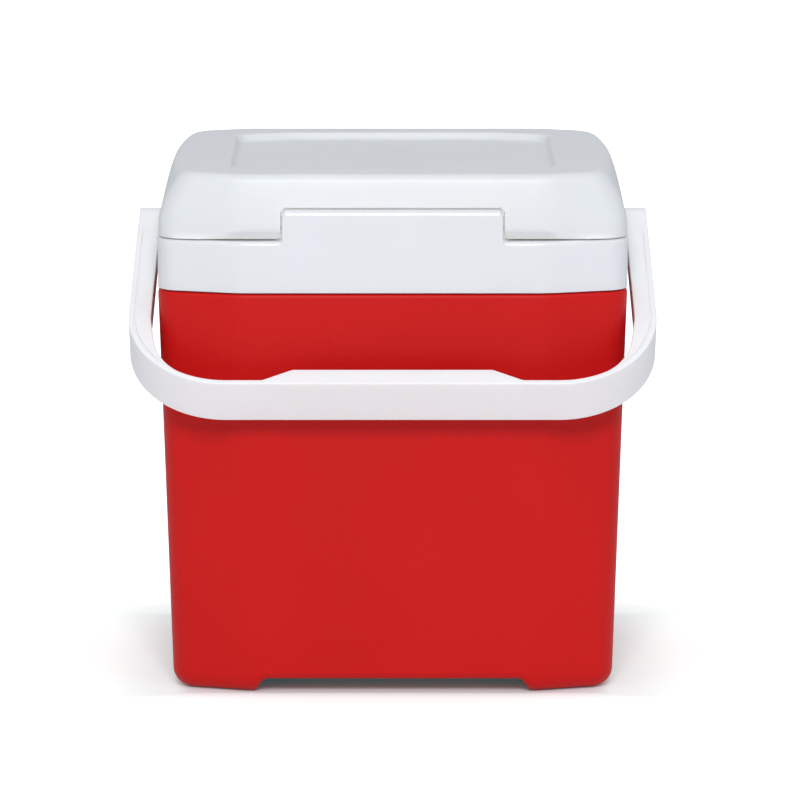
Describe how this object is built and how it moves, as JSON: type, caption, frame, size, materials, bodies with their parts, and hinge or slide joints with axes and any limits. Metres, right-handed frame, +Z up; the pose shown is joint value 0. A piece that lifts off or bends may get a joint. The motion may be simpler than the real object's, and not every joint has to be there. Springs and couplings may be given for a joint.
{
  "type": "hard-sided picnic cooler",
  "caption": "Small hard-sided picnic cooler: tapered chamfered body with moulded feet, insulated liner, collar, hinged dished lid and a swing-over strap handle.",
  "frame": {"origin": "on the floor plane, under the middle of the whole model's box with the handle hanging on the hinge side", "axes": "+X along the long side and both hinge axes, +Y from the lid's hinge side to its opening side, +Z up"},
  "size_m": [0.3036, 0.2422, 0.304],
  "materials": {
    "red_shell": "fine pebble grain, satin",
    "collar_white": "smooth, semi-gloss",
    "lid_white": "smooth satin",
    "liner_white": "smooth, semi-gloss",
    "handle_white": "smooth satin",
    "pin_white": "smooth satin",
    "foam": "matt, finely porous"
  },
  "bodies": {
    "body": {"outer_shell": "red_shell", "body_foam": "foam", "inner_liner": "liner_white", "collar": "collar_white", "hinge_pin_left": "pin_white", "hinge_pin_right": "pin_white", "pivot_stud_left": "pin_white", "pivot_stud_right": "pin_white"},
    "lid": {"lid_cover": "lid_white", "lid_foam": "foam", "lid_liner": "liner_white"},
    "handle": {"handle": "handle_white"}
  },
  "joints": [
    {"name": "lid_hinge", "type": "hinge", "parent": "body", "child": "lid", "pos_m": [0, -0.08491, 0.2755], "axis": [1, 0, 0], "range_deg": [0, 95]},
    {"name": "handle_swing", "type": "hinge", "parent": "body", "child": "handle", "pos_m": [0, 0.01009, 0.257], "axis": [-1, 0, 0], "range_deg": [0, 246]}
  ]
}
